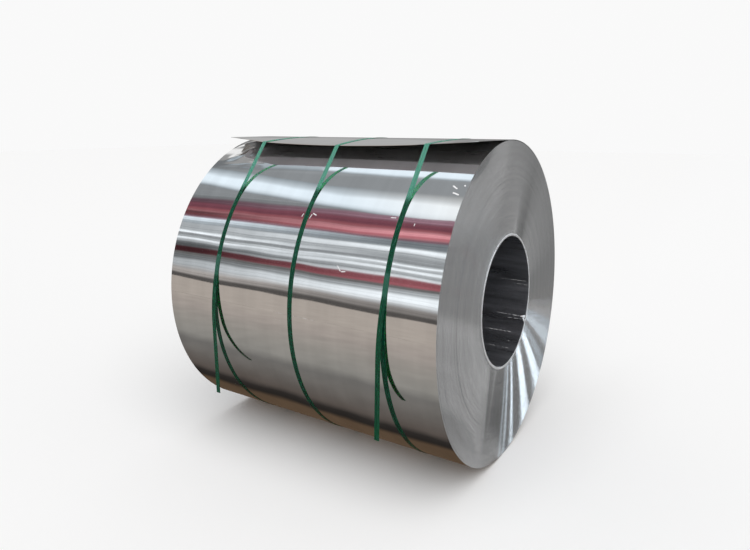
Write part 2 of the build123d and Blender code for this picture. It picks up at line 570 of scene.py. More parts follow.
@dataclass(frozen=True)
class StrapFinish:
    """Green embossed plastic, ridged where it is welded, with a painted sheen on its free run off the tail
    and painted light shining through that run's inner face.
    """

    name: str = "Green strap"
    colour: tuple = (0.001, 0.068, 0.033)
    # pale colour for wear, the weld and the painted sheen on the free run off the tail
    painted_light_and_wear: tuple = (0.11, 0.34, 0.26)
    # pale colour of the painted light on the free run's inner face
    painted_through_light: tuple = (0.42, 0.60, 0.55)
    roughness: float = 0.24
    fibre_counts: tuple = (200.0, 24.0)
    emboss_pitch: float = 0.0032
    emboss_depth: float = 0.00012
    dent_counts: tuple = (90.0, 70.0)
    dent_depth: float = 0.0016
    ridge_pitch: float = 0.0024
    ridge_depth: float = 0.00025
    # where the painted sheen lies on the free run off the tail, and how the wear varies it
    free_radius: float = 0.623
    free_from: tuple = (0.6, 0.9)
    free_to: tuple = (1.75, 1.65)
    free_share: tuple = (0.75, 1.0)
    # which faces count as the inner face that gets the painted light
    inward_range: tuple = (-0.50, -0.58)
    worn_range: tuple = (0.56, 0.75)
    worn_share: float = 0.30
    gloss_range: tuple = (0.8, 1.6)

    def _colour(self, graph: Graph, place: dict, wear: Socket, weld: Socket) -> Socket:
        """Colour of the strap, paler where it is worn or welded, with a painted sheen on its free run off
        the tail and painted light on that run's inner face.

        Args:
            graph: the material's graph.
            place: sockets for the place on the strap.
            wear: noise along its fibres.
            weld: mask of its weld.

        Returns:
            The colour's socket.
        """
        along = place["Along"]
        # painted sheen: the free run off the tail is made paler, standing in for the light on its upper
        # parts
        free = graph.times(
            graph.rises(place["Radius"], self.free_radius, self.free_radius + 0.004),
            graph.rises(along, *self.free_from),
            graph.rises(along, *self.free_to),
        )
        # wear, the weld and the painted sheen of the free run make the strap paler
        pale = graph.highest(
            graph.remap(wear, *self.worn_range, 0.0, self.worn_share),
            graph.times(weld, self.worn_share),
            graph.times(free, graph.spread(wear, *self.free_share)),
        )
        # painted light: the inner face of the free run is made paler, standing in for light shining through
        # the strap
        spot = graph.node("TexCoord").outputs
        outward = graph.vector_math("DOT_PRODUCT", spot["Object"], spot["Normal"]).outputs["Value"]
        inside = graph.times(free, graph.rises(outward, *self.inward_range))
        return graph.blend(inside, graph.blend(pale, self.colour, self.painted_light_and_wear), self.painted_through_light)

    def _relief(self, graph: Graph, place: dict, weld: Socket) -> Socket:
        """Normal of the strap: its embossing, its dents and the ridges of its weld."""
        along, across = place["Along"], place["Across"]
        slant = graph.waves(graph.math("ADD", along, across), self.emboss_pitch)
        other = graph.waves(graph.math("SUBTRACT", along, across), self.emboss_pitch)
        embossed = graph.bump(graph.halved(graph.times(slant, other)), self.emboss_depth)
        dents = graph.noise(graph.stretched(place, self.dent_counts), 1.0, 1.0)
        buckled = graph.bump(dents, self.dent_depth, embossed)
        ridges = graph.halved(graph.waves(along, self.ridge_pitch))
        return graph.bump(graph.times(ridges, weld), self.ridge_depth, buckled)

    def build(self, effects: SharedEffects) -> Material:
        """Make the material."""
        plastic = {
            "IOR": 1.57,
            "Specular IOR Level": 0.22,
            "Subsurface Weight": 0.8,
            "Subsurface Radius": (0.3, 1.0, 0.6),
            "Subsurface Scale": 0.004,
        }
        material, graph, shader = start_material(self.name, plastic)
        place = graph.group(effects.strip_place)
        wear = graph.noise(graph.stretched(place, self.fibre_counts), 1.0, 3.0)
        weld = graph.node("Attribute", attribute_name="weld").outputs["Fac"]
        dressed = {
            "Base Color": self._colour(graph, place, wear, weld),
            "Roughness": graph.spread(wear, *[self.roughness * share for share in self.gloss_range]),
            "Normal": self._relief(graph, place, weld),
        }
        graph.feed_all(shader, dressed)
        return material


def spoke(angle: float) -> Vector:
    """Way out from the coil's axis at an angle in radians from +Y towards +Z."""
    return Vector((0, math.cos(angle), math.sin(angle)))


def at_hour(hour: float) -> Vector:
    """Way out from the coil's axis at a clock hour on its right end."""
    return spoke(math.radians(90 - 30 * hour))


def verts_of(geometry: list) -> list:
    """Vertices among a mesh's parts."""
    return [item for item in geometry if isinstance(item, bmesh.types.BMVert)]


def edges_of(geometry: list) -> list:
    """Edges among a mesh's parts."""
    return [item for item in geometry if isinstance(item, bmesh.types.BMEdge)]


def closed_line(bm: Mesh, points: list) -> list:
    """Draw a closed line through points, and return its vertices and edges."""
    verts = [bm.verts.new(point) for point in points]
    return verts + [bm.edges.new((verts[i - 1], verts[i])) for i in range(len(verts))]


def make_object(name: str, bm: Mesh, materials: list) -> bpy.types.Object:
    """Turn a finished bmesh into an object of the scene.

    Args:
        name: the object's name.
        bm: its mesh, freed here.
        materials: its materials, in the order of the faces' material numbers.

    Returns:
        The new object.
    """
    mesh = bpy.data.meshes.new(name)
    bm.to_mesh(mesh)
    bm.free()
    for material in materials:
        mesh.materials.append(material)
    made = bpy.data.objects.new(name, mesh)
    bpy.context.scene.collection.objects.link(made)
    return made


def finish_piece(name: str, bm: Mesh, materials: list, node: str) -> None:
    """Turn a finished bmesh into a smooth piece that rides on the coil in place of its CAD node.

    Args:
        name: the piece's name.
        bm: its mesh, freed here.
        materials: its materials, in the order of the faces' material numbers.
        node: the CAD node that it stands for.
    """
    piece = make_object(name, bm, materials)
    piece.data.shade_smooth()
    piece.data.set_sharp_from_angle(angle=SHARP_ANGLE)
    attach(piece, "root")
    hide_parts(node)
    log.info("%s: %d faces", name, len(piece.data.polygons))


@dataclass(frozen=True)
class Crumple:
    """A ridge in the outer lap, by its place along the coil and its angle above the axis on the front."""

    x: float
    angle: float
    height: float
    half_length: float
    half_width: float
    slant: float = 0.0

    def rise_at(self, x: float, arc: float, radius: float) -> float:
        """How far the ridge lifts the lap at a place along it, with the angle given in radians."""
        across, up = x - self.x, (arc - math.radians(self.angle)) * radius
        turned = math.radians(self.slant)
        along = (across * math.cos(turned) + up * math.sin(turned)) / self.half_length
        aside = (up * math.cos(turned) - across * math.sin(turned)) / self.half_width
        return self.height * math.exp(-along * along - aside * aside)


@dataclass(frozen=True)
class Sliver:
    """A tongue torn off the strip's edge at the bore, by its clock hour on the right end."""

    hour: float
    length: float
    width: float
    curl: float
    lean: float


@dataclass
class StripCoil:
    """The wound strip: its laps, its open bore, and the outer lap whose tail springs forward at the top."""

    radius: float
    bore_radius: float
    half_width: float
    thickness: float
    tail_reach: float = 0.318
    tail_drop: float = 0.024
    corner_short: float = 0.062
    corner_run: float = 0.240
    lap_groups: int = 12
    bands_per_group: int = 4
    group_wander: float = 0.00005
    band_wander: float = 0.00002
    laps_below: float = 1.2
    rim_height: float = 0.009
    rim_proud: float = 0.0009
    rim_steps: int = 8
    turn_steps: int = 240
    cross_steps: int = 120
    tail_steps: int = 24
    sliver_steps: int = 6
    sliver_taper: float = 0.8
    crumple_cuts: int = 3

    CRUMPLES = (
        Crumple(-0.560, 73.0, 0.0030, 0.040, 0.016, 50.0),
        Crumple(-0.478, 65.6, 0.0076, 0.024, 0.024, -10.0),
        Crumple(-0.425, 67.5, 0.0060, 0.020, 0.016, 30.0),
        Crumple(-0.520, 60.5, 0.0018, 0.040, 0.016, 35.0),
        Crumple(-0.400, 70.0, 0.0040, 0.030, 0.016, -38.0),
        Crumple(-0.500, 55.0, 0.0009, 0.070, 0.012, 4.0),
        Crumple(-0.390, 56.0, 0.0014, 0.050, 0.012, -5.0),
    )
    SLIVERS = (
        Sliver(3.93, 0.024, 0.012, 38.0, 0.25),
        Sliver(4.08, 0.019, 0.014, 14.0, -0.35),
    )
    CRUMPLED_X = (-0.6, -0.33)
    CRUMPLED_ANGLE = (49.0, 79.0)

    @classmethod
    def from_frame(cls) -> "StripCoil":
        """Read the coil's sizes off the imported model."""
        low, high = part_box("coil")
        bore = next(m for m in frame["record"]["mounts"] if m["name"] == "bore")["dims"]
        radius = -low.z
        return cls(radius, bore["r_mm"] / 1000, bore["length_mm"] / 2000, high.z - radius)

    @property
    def sheet_top(self) -> float:
        """Height of the tail's upper face where it leaves the coil."""
        return self.radius + self.thickness

    @property
    def rim_top(self) -> float:
        """Distance from the axis at which the rounded rim of the bore ends."""
        return self.bore_radius + self.rim_height

    def drop_at(self, x: float) -> float:
        """Drop of the tail's front edge at a place along the coil, deepest in the middle."""
        return self.tail_drop * (1 - (x / self.half_width) ** 2)

    def reach_at(self, x: float) -> float:
        """Reach of the tail at a place along the coil, less at its damaged left corner."""
        slant = max(0.0, self.corner_run - self.half_width - x) / self.corner_run
        return self.tail_reach - self.corner_short * slant

    def band_shift(self, band: int) -> float:
        """Place along the axis of one band of laps."""
        group = band // self.bands_per_group
        fade = math.sin(math.pi * group / (self.lap_groups - 1))
        coarse = self.group_wander * fade * math.sin(group * GOLDEN_TURN)
        return coarse + self.band_wander * math.sin(band * band * GOLDEN_TURN)

    def _rim(self, side: int) -> list:
        """Rounded edge of the innermost laps at one end, from the bore outwards."""
        points = []
        for step in range(self.rim_steps + 1):
            turn = math.pi * step / self.rim_steps
            reach = self.bore_radius + self.rim_height * (1 - math.cos(turn)) / 2
            points.append((side * (self.half_width + self.rim_proud * math.sin(turn)), 0, reach))
        return points

    def lap_profile(self) -> list:
        """Half section of the wound laps, as points above the axis."""
        lap_top = self.radius - self.thickness * self.laps_below
        bands = self.lap_groups * self.bands_per_group
        height = (lap_top - self.rim_top) / bands
        right, left = self._rim(1), self._rim(-1)
        for band in range(bands):
            shift = self.band_shift(band) - self.band_wander
            low = self.rim_top + band * height
            for reach in (low, low + height):
                right.append((self.half_width + shift, 0, reach))
                left.append((shift - self.half_width, 0, reach))
        return right + left[::-1]

    def build_laps(self, materials: list) -> None:
        """Turn the wound laps, with a step on each end for every band of them."""
        bm = bmesh.new()
        section = closed_line(bm, self.lap_profile())
        turned = {"axis": AXLE, "angle": FULL_TURN, "steps": self.turn_steps, "use_merge": True}
        bmesh.ops.spin(bm, geom=section, cent=MIDDLE, **turned)
        bmesh.ops.recalc_face_normals(bm, faces=bm.faces)
        for face in bm.faces:
            middle = face.calc_center_median()
            if middle.yz.length >= self.rim_top:
                face.material_index = Surface.LAP_EDGES
            elif abs(middle.x) < self.half_width / 2:
                face.material_index = Surface.BORE
            else:
                face.material_index = Surface.RIM
        finish_piece("coil_laps", bm, materials, "coil")

    def _tongue(self, bm: Mesh, sliver: Sliver) -> None:
        """Shape one torn tongue: a tapering strip that curls in from the bore's edge."""
        outward, aside = at_hour(sliver.hour), at_hour(sliver.hour + 3)
        side = Vector((self.half_width - self.thickness, 0, 0))
        base = side + outward * (self.bore_radius + self.thickness)
        grid = bmesh.ops.create_grid(bm, x_segments=2, y_segments=self.sliver_steps, size=0.5)["verts"]
        for vert in grid:
            along = vert.co.y + 0.5
            curled = math.radians(sliver.curl) * along
            wide = sliver.width * (1 - self.sliver_taper * along * along)
            out = sliver.length * along
            bent = -outward * math.cos(curled) - Vector(AXLE) * math.sin(curled)
            vert.co = base + bent * out + aside * (vert.co.x * wide + sliver.lean * out)

    def build_torn_edge(self, material: Material) -> None:
        """Tear the slivers off the innermost lap's edge at the right end."""
        bm = bmesh.new()
        for sliver in self.SLIVERS:
            self._tongue(bm, sliver)
        bmesh.ops.recalc_face_normals(bm, faces=bm.faces)
        bmesh.ops.solidify(bm, geom=list(bm.faces), thickness=self.thickness / 2)
        bmesh.ops.recalc_face_normals(bm, faces=bm.faces)
        finish_piece("coil_torn_edge", bm, [material], "coil")

    def _crumple(self, bm: Mesh) -> None:
        """Crumple the outer lap behind its damaged corner, on a finer mesh there."""

        def near(vert: bmesh.types.BMVert) -> bool:
            """Whether a vertex is where the lap is crumpled."""
            angle = math.degrees(math.atan2(vert.co.z, -vert.co.y))
            in_width = self.CRUMPLED_X[0] <= vert.co.x <= self.CRUMPLED_X[1]
            return in_width and self.CRUMPLED_ANGLE[0] < angle < self.CRUMPLED_ANGLE[1]

        edges = [edge for edge in bm.edges if all(near(vert) for vert in edge.verts)]
        bmesh.ops.subdivide_edges(bm, edges=edges, cuts=self.crumple_cuts, use_grid_fill=True)
        for vert in filter(near, list(bm.verts)):
            arc = math.atan2(vert.co.z, -vert.co.y)
            rise = sum(crumple.rise_at(vert.co.x, arc, self.radius) for crumple in self.CRUMPLES)
            outward = Vector((0, vert.co.y, vert.co.z)).normalized()
            vert.co = Vector((vert.co.x, 0, 0)) + outward * (self.radius + rise)

    def _carry_on(self, bm: Mesh, edge: list) -> None:
        """Carry the lap's end forward into the free tail, dropped in the middle and short at one corner."""
        tail = []
        for _ in range(self.tail_steps):
            edge = bmesh.ops.extrude_edge_only(bm, edges=edges_of(edge))["geom"]
            bmesh.ops.translate(bm, verts=verts_of(edge), vec=(0, -self.tail_reach / self.tail_steps, 0))
            tail += verts_of(edge)
        for vert in tail:
            vert.co.y *= self.reach_at(vert.co.x) / self.tail_reach
            vert.co.z -= self.drop_at(vert.co.x) * (vert.co.y / self.tail_reach) ** 2

    def build_outer_lap(self, materials: list) -> None:
        """Wind the last lap as a sheet with its real thickness, and carry it on into the free tail."""
        bm = bmesh.new()
        ends = [bm.verts.new((side * self.half_width, 0, self.radius)) for side in (-1, 1)]
        bmesh.ops.subdivide_edges(bm, edges=[bm.edges.new(ends)], cuts=self.cross_steps - 1)
        last = list(bm.verts) + list(bm.edges)
        half_turn = {"axis": AXLE, "angle": math.pi, "steps": self.turn_steps // 2}
        for rise in (0.0, self.thickness / 2):
            last = bmesh.ops.spin(bm, geom=last, cent=(0, 0, rise), **half_turn)["geom_last"]
        self._crumple(bm)
        self._carry_on(bm, last)
        sheet = list(bm.faces)
        bmesh.ops.recalc_face_normals(bm, faces=sheet)
        if sheet[0].normal.z < 0:
            bmesh.ops.reverse_faces(bm, faces=sheet)
        bmesh.ops.solidify(bm, geom=sheet, thickness=self.thickness)
        bmesh.ops.recalc_face_normals(bm, faces=bm.faces)
        for face in bm.faces:
            middle = face.calc_center_median()
            outward = Vector((0, middle.y, middle.z)).normalized()
            if abs(face.normal.x) > 0.5:
                face.material_index = Surface.LAP_EDGES
            elif face.normal.dot(outward) < -0.5:
                face.material_index = Surface.UNDERSIDE
            else:
                face.material_index = Surface.WRAP
        finish_piece("coil_outer_lap", bm, materials, "coil")


@dataclass
class Strap:
    """One plastic strap round the coil and over its tail."""

    coil: StripCoil
    node: str
    place: float
    width: float
    end: StrapEnd = StrapEnd.HIDDEN
    weld_angle: float = 10.0
    end_length: float = 0.48
    thickness: float = 0.001
    clearance: float = 0.0003
    weld_length: float = 0.07
    end_spring: float = 5.0
    end_lean: float = 1.5
    end_bend_radius: float = 0.7
    end_drift: float = 0.0
    corner: float = 0.0002
    step: float = math.radians(1.6)
    run_steps: int = 12
    hang_steps: int = 14
    merge_distance: float = 0.00005

    @classmethod
    def from_frame(cls, coil: StripCoil, node: str, **sizes: object) -> "Strap":
        """Take a strap's place and width from its CAD node."""
        low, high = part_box(node)
        return cls(coil, node, (low.x + high.x) / 2, high.x - low.x, **sizes)

    def _section(self, bm: Mesh, inner: float, angle: float) -> list:
        """Draw the strap's section on a radius of the coil, with its corners taken off.

        Args:
            bm: the mesh to draw in.
            inner: distance of the strap's inner face from the axis.
            angle: where on the coil, in radians from +Y towards +Z.

        Returns:
            The section's vertices and edges.
        """
        half, cut = self.width / 2, self.corner
        outer = inner + self.thickness
        corners = [
            (-half + cut, inner), (half - cut, inner), (half, inner + cut), (half, outer - cut),
            (half - cut, outer), (-half + cut, outer), (-half, outer - cut), (-half, inner + cut),
        ]
        way = spoke(angle)
        return closed_line(bm, [way * reach + Vector((self.place + x, 0, 0)) for x, reach in corners])

    def _turn(self, bm: Mesh, section: list, centre: Vector, angle: float) -> list:
        """Carry the section round a centre, and return it at its new place."""
        steps = max(2, round(abs(angle) / self.step))
        turned = bmesh.ops.spin(bm, geom=section, cent=centre, axis=AXLE, angle=angle, steps=steps)
        return turned["geom_last"]

    @staticmethod
    def _run(bm: Mesh, section: list, way: Vector, steps: int) -> list:
        """Carry the section straight on, and return it at its new place."""
        for _ in range(steps):
            section = bmesh.ops.extrude_edge_only(bm, edges=edges_of(section))["geom"]
            bmesh.ops.translate(bm, verts=verts_of(section), vec=way / steps)
        return section

    def _loop(self, bm: Mesh) -> None:
        """Carry the strap once round the coil, over the tail, round its edge and back to the coil."""
        coil = self.coil
        drop = coil.drop_at(abs(self.place) + self.width / 2)
        sheet_radius = (coil.tail_reach**2 + drop**2) / (2 * drop)
        sheet_turn = math.asin(coil.tail_reach / sheet_radius)
        sheet_centre = Vector((0, 0, coil.sheet_top - sheet_radius))
        edge_angle = math.pi / 2 + sheet_turn
        edge_radius = coil.thickness / 2
        edge = sheet_centre + spoke(edge_angle) * (sheet_radius - edge_radius)
        apart = math.acos((coil.radius - edge_radius) / edge.length)
        touch = math.atan2(edge.z, edge.y) + apart

        section = self._section(bm, coil.radius + self.clearance, touch)
        section = self._turn(bm, section, MIDDLE, 1.5 * math.pi - touch)
        section = self._turn(bm, section, Vector((0, 0, coil.thickness / 2)), math.pi)
        section = self._turn(bm, section, sheet_centre, sheet_turn)
        section = self._turn(bm, section, edge, touch - edge_angle)
        self._run(bm, section, spoke(touch) * (coil.radius - edge_radius) - edge, self.run_steps)

    def _hanging_end(self, bm: Mesh) -> None:
        """Lay a second layer over the weld and let its free end spring off and hang down."""
        inner = self.coil.radius + self.clearance + self.thickness
        middle = inner + self.thickness / 2
        weld_end = math.pi - math.radians(self.weld_angle)
        weld_turn = self.weld_length / middle
        spring, lean = math.radians(self.end_spring), math.radians(self.end_lean)
        heading = weld_end + math.pi / 2 - spring
        turn = 1.5 * math.pi + lean - heading
        knee = spoke(weld_end) * middle
        bend_centre = knee + spoke(heading + math.pi / 2) * self.end_bend_radius
        hang = spoke(lean - math.pi / 2) * (self.end_length - turn * self.end_bend_radius)

        before = set(bm.verts)
        start = self._section(bm, inner, weld_end - weld_turn)
        section = self._turn(bm, start, MIDDLE, weld_turn)
        section = self._turn(bm, section, knee, -spring)
        section = self._turn(bm, section, bend_centre, turn)
        tip = self._run(bm, section, hang, self.hang_steps)
        for closing in (start, tip):
            bmesh.ops.contextual_create(bm, geom=edges_of(closing))
        for vert in set(bm.verts) - before:
            vert.co.x += self.end_drift * max(0.0, knee.z - vert.co.z) / self.end_length

    def build(self, material: Material) -> None:
        """Model the strap and dress it."""
        bm = bmesh.new()
        weld = bm.verts.layers.float.new("weld")
        self._loop(bm)
        bmesh.ops.remove_doubles(bm, verts=bm.verts, dist=self.merge_distance)
        if self.end is StrapEnd.HANGING:
            self._hanging_end(bm)
            weld_end = math.radians(self.weld_angle)
            for vert in bm.verts:
                up = math.atan2(vert.co.z, -vert.co.y)
                near_front = weld_end < up < weld_end + self.weld_length / self.coil.radius
                vert[weld] = 1.0 if near_front and vert.co.y < 0 else 0.0
        bmesh.ops.recalc_face_normals(bm, faces=bm.faces)
        finish_piece(f"{self.node}_band", bm, [material], self.node)


def tinted(glow: float, tint: tuple) -> tuple:
    """Colour of a glow of a given strength."""
    return (*[glow * part for part in tint], 1.0)


@dataclass(frozen=True)
class LightBand:
    """A long softbox or flag beside the coil, by its height in degrees as the coil's wrap mirrors it."""

    low: float
    high: float
    glow: float
    tint: tuple = WHITE
    left_glow: float | None = None

    def glow_at(self, left: bool) -> tuple:
        """Colour of the band's glow, which may differ towards its left end."""
        return tinted(self.left_glow if left and self.left_glow is not None else self.glow, self.tint)


@dataclass(frozen=True)
class FanCard:
    """A bright card behind the coil's right end, by the clock hours on that end that mirror its sides."""

    first_hour: float
    last_hour: float
    glow: float
    low_turn: float = 17.0
    high_turn: float = 46.0


@dataclass(frozen=True)
class Softbox:
    """A long softbox overhead, by the ends of its middle line.

    Each of its rows is given by its place aside of that line and its glow. At the far end the rows may
    have places of their own.
    """

    near: tuple
    far: tuple
    rows: tuple
    far_asides: tuple | None = None
    near_tint: tuple = SKY


@dataclass
class Studio:
    """Pale floor, soft light, the long softboxes and flags that the metal mirrors, and the camera."""

    floor_height: float
    floor_size: float = 30.0
    floor_colour: tuple = (0.955, 0.955, 0.955)
    floor_bounce: tuple = (0.3, 0.3, 0.3)
    mat_lift: float = 0.0002
    tunnel_radius: float = 6.0
    fold_count: float = 70.0
    fold_glows: tuple = (0.72, 1.25)
    folded_below: tuple = (80.0, 62.0)
    fan_distance: float = 6.0
    fan_steps: int = 6
    end_place: float = 0.6
    end_radius: float = 0.44
    surround_light: float = 0.50
    surround_seen: float = 0.95
    sun_energy: float = 1.9
    sun_spread: float = 70.0
    sun_tilt: tuple = (28.0, 18.0)
    photo_width: int = 750
    photo_height: int = 550
    focal_pixels: float = 643.66
    sight_x: float = 345.59
    sight_y: float = 195.32
    camera_place: tuple = (1.4434, -2.3615, 0.6761)
    camera_pitch: float = -6.25
    camera_yaw: float = 34.09

    MAT_REACH = 2.4
    MAT_BLUR = 0.08
    MAT_TONES = (0.93, 1.07)
    MAT_LIT_FROM = (0.36, 0.52)
    MAT_LIT_TO = (1.8, 1.45)
    MAT_LIT_BEARING = (11.0, 5.0)
    MAT_END_BEARING = (-6.0, -1.0)
    MAT_BACK_FROM = (3.2, 4.4)
    MAT_RIGHT_FROM = (1.1, 1.7)
    MAT_FAR_FROM = (1.2, 1.8)
    MAT_ASIDE_X = (0.60, 0.66)
    MAT_ASIDE_Y = (-1.2, -0.5)
    MAT_BEHIND_Y = (-0.06, 0.0)
    # greys of the glowing mat by distance from the coil; the dark rows nearest it are a painted contact
    # shadow
    MAT_ROWS = (
        (-2.3, (0.450, 0.400, 0.360)),
        (-1.6, (0.400, 0.355, 0.325)),
        (-1.15, (0.325, 0.305, 0.280)),
        (-0.90, (0.290, 0.280, 0.260)),
        (-0.79, (0.175, 0.168, 0.160)),
        (-0.70, (0.170, 0.160, 0.150)),
        (-0.50, (0.105, 0.088, 0.078)),
        (-0.45, (0.030, 0.026, 0.024)),
        (-0.40, (0.022, 0.019, 0.017)),
        (-0.36, (0.100, 0.066, 0.042)),
    )
    # greys by bearing from the foot of the right end; the dark wedge from 12 to 28 degrees is painted shade
    # behind that foot
    MAT_SECTORS = (
        (-100.0, 0.36),
        (-25.0, 0.50),
        (7.0, 0.52),
        (12.0, 0.06),
        (28.0, 0.06),
        (34.0, 0.34),
        (46.0, 0.50),
        (180.0, 0.50),
    )
    MAT_LIGHT = 0.90
    MAT_FAR = 0.41
    MAT_BACK = 0.62
    MAT_RIGHT = 0.26
    FANS = (
        FanCard(3.69, 3.82, 1.0),
        FanCard(3.83, 4.03, 1.5),
        FanCard(4.18, 4.34, 0.9),
        FanCard(4.41, 4.64, 3.0),
        FanCard(4.94, 5.22, 3.0),
        FanCard(5.59, 5.69, 2.8),
        FanCard(5.87, 5.96, 1.5),
        FanCard(6.03, 6.12, 1.1, high_turn=40.0),
    )
    TUNNEL_COLUMNS = (24.0, -2.5, -6.0, -24.0)
    TUNNEL_LEFT = TUNNEL_COLUMNS[2]
    SOFTBOXES = (
        Softbox(
            (-1.2, -2.73, 5.3),
            (-3.3, -1.67, 5.3),
            ((-0.70, 0.32), (-0.40, 0.85), (0.10, 1.06), (0.92, 1.08), (1.27, 0.72), (1.87, 0.34)),
            far_asides=(-1.02, -0.72, -0.45, 0.12, 0.40, 0.95),
            near_tint=(0.95, 0.97, 0.98),
        ),
        Softbox(
            (-3.3, -1.67, 5.3),
            (-11.0, 2.2, 5.3),
            ((-1.02, 0.32), (-0.72, 0.85), (-0.45, 1.06), (0.12, 1.08), (0.40, 0.72), (0.95, 0.34)),
        ),
        Softbox(
            (1.0, 0.50, 5.3),
            (-3.6, 1.12, 5.3),
            ((-0.50, 0.34), (-0.24, 1.06), (0.20, 1.08), (0.32, 0.40)),
        ),
        Softbox(
            (-3.6, 1.12, 5.3),
            (-5.4, 1.10, 5.3),
            ((-0.50, 0.30), (-0.20, 0.50), (0.14, 0.52), (0.30, 0.30)),
        ),
    )
    SCREEN_PLACE = 0.595
    SCREEN_SIDES = (0.645, 14.0)
    SCREEN_ROWS = (
        (-0.62, 0.24), (0.0, 0.30), (0.35, 0.50), (0.9, 0.92), (1.5, 0.50), (3.0, 0.36), (9.0, 0.75),
    )
    BANDS = (
        LightBand(-8, -3, 0.09, WARM),
        LightBand(-1.6, 1.0, 0.24, WARM, 0.42),
        LightBand(4.8, 8.4, 1.08, COOL, 0.50),
        LightBand(10.0, 11.8, 0.50, COOL, 0.19),
        LightBand(13.4, 14.4, 0.16),
        LightBand(15.2, 16.2, 0.24, RED, 0.035),
        LightBand(16.9, 17.6, 0.18, RED, 0.03),
        LightBand(18.5, 19.0, 0.22, RED, 0.04),
        LightBand(20.2, 20.8, 0.85, COOL, 0.10),
        LightBand(21.8, 22.8, 0.42, COOL, 0.13),
        LightBand(24.3, 25.2, 1.05, COOL, 0.45),
        LightBand(25.8, 26.8, 0.46, COOL, 1.10),
        LightBand(27.6, 28.4, 1.05, COOL, 0.42),
        LightBand(29.8, 30.6, 0.30, COOL),
        LightBand(31.5, 32.5, 0.36, COOL, 1.15),
        LightBand(33.8, 35.6, 0.46, COOL),
        LightBand(37.3, 38.7, 1.12, COOL, 0.48),
        LightBand(40.4, 41.4, 0.24, SKY, 0.50),
        LightBand(42.4, 44.5, 0.22, SKY, 0.92),
        LightBand(45.0, 45.6, 0.18, MAUVE, 0.26),
        LightBand(46.5, 46.8, 0.44, PINK, 0.13),
        LightBand(47.3, 48.0, 0.34, RED, 0.11),
        LightBand(48.9, 50.2, 0.85, PINK, 0.13),
        LightBand(51.0, 51.5, 0.56, PINK, 0.34),
        LightBand(52.8, 53.2, 0.19, RED),
        LightBand(54.4, 57.2, 0.120, DARK_RED),
        LightBand(59.2, 61.4, 0.26, MAUVE, 0.10),
        LightBand(63.6, 64.4, 0.33, COOL, 0.22),
        LightBand(66, 93, 0.33, COOL, 0.30),
        LightBand(97, 106, 0.42, COOL, 0.20),
        LightBand(107, 113, 0.34),
        LightBand(117, 124, 0.95),
        LightBand(128, 150, 0.20),
        LightBand(153, 166, 0.44),
        LightBand(171, 188, 0.28),
    )

    def _stage(self, name: str, bm: Mesh, material: Material, only_mirrored: bool = True) -> None:
        """Stage a bmesh as an object, left to the metal's reflections alone or seen as well."""
        made = make_object(name, bm, [material])
        if only_mirrored:
            made.visible_camera = False
            made.visible_diffuse = False
            made.visible_shadow = False

    @staticmethod
    def _glowing(name: str, own_colours: bool = True) -> tuple:
        """Make a material that only glows.

        Args:
            name: its name.
            own_colours: whether it takes the colours of the mesh that it is on.

        Returns:
            The material, its graph and its glowing node.
        """
        material = bpy.data.materials.new(name)
        material.use_nodes = True
        material.node_tree.nodes.clear()
        material.cycles.emission_sampling = "NONE"
        graph = Graph(material.node_tree)
        glow = graph.node("Emission", {"Strength": 1.0})
        if own_colours:
            colours = graph.node("Attribute", attribute_name="glow").outputs["Color"]
            graph.feed(glow.inputs["Color"], colours)
        graph.feed(graph.node("OutputMaterial").inputs["Surface"], glow.outputs[0])
        return material, graph, glow

    def _plane(self, name: str, height: float, material: Material, only_mirrored: bool) -> None:
        """Lay a large plane at a height."""
        bm = bmesh.new()
        lifted = Matrix.Translation((0, 0, height))
        bmesh.ops.create_grid(bm, x_segments=1, y_segments=1, size=self.floor_size, matrix=lifted)
        self._stage(name, bm, material, only_mirrored)

    def build_floor(self) -> None:
        """Lay the pale floor, which throws little light back up."""
        pale, graph, shader = start_material("Pale floor", {"Roughness": 0.9, "Specular IOR Level": 0.1})
        bounced = graph.node("LightPath").outputs["Is Diffuse Ray"]
        graph.feed(shader.inputs["Base Color"], graph.blend(bounced, self.floor_colour, self.floor_bounce))
        self._plane("floor", self.floor_height, pale, False)

    def _mat_rows(self, graph: Graph, place: Socket, y: Socket) -> Socket:
        """Rows of grey along the coil, with blurred edges, darkening near it as a painted contact shadow.
        """
        cloud = graph.noise(place, 3.0, 3.0)
        blurred = graph.math("ADD", y, graph.times(graph.math("SUBTRACT", cloud, 0.5), self.MAT_BLUR))
        from_coil = graph.math("ABSOLUTE", blurred)
        rows = tuple((row / self.MAT_REACH + 1, colour) for row, colour in self.MAT_ROWS)
        return graph.ramp(graph.math("MULTIPLY_ADD", from_coil, -1 / self.MAT_REACH, 1.0), rows)

    def _mat_sectors(self, graph: Graph, x: Socket, y: Socket) -> tuple:
        """Sectors of grey round the foot of the coil's right end, with a dark wedge of painted shade behind
        that foot.

        Args:
            graph: the mat's graph.
            x: place along the coil.
            y: place behind it.

        Returns:
            Their colour, and the bearing from that foot.
        """
        from_foot = graph.math("SUBTRACT", x, self.end_place)
        bearing = graph.math("ARCTAN2", from_foot, y)
        sectors = tuple((degrees / 360 + 0.5, (tone, tone, tone)) for degrees, tone in self.MAT_SECTORS)
        near = graph.ramp(graph.math("MULTIPLY_ADD", bearing, 1 / FULL_TURN, 0.5), sectors)
        distance = graph.vector_math("LENGTH", graph.vector(from_foot, y)).outputs["Value"]
        lit = graph.times(
            graph.rises(distance, *self.MAT_LIT_FROM),
            graph.rises(distance, *self.MAT_LIT_TO),
            graph.rises(bearing, *map(math.radians, self.MAT_LIT_BEARING)),
        )
        far = graph.remap(graph.rises(y, *self.MAT_BACK_FROM), 0.0, 1.0, self.MAT_FAR, self.MAT_BACK)
        far = graph.mix(graph.rises(x, *self.MAT_RIGHT_FROM), far, self.MAT_RIGHT)
        grey = graph.blend(graph.rises(distance, *self.MAT_FAR_FROM), near, graph.vector(far, far, far))
        return graph.blend(lit, grey, (self.MAT_LIGHT, self.MAT_LIGHT, self.MAT_LIGHT)), bearing

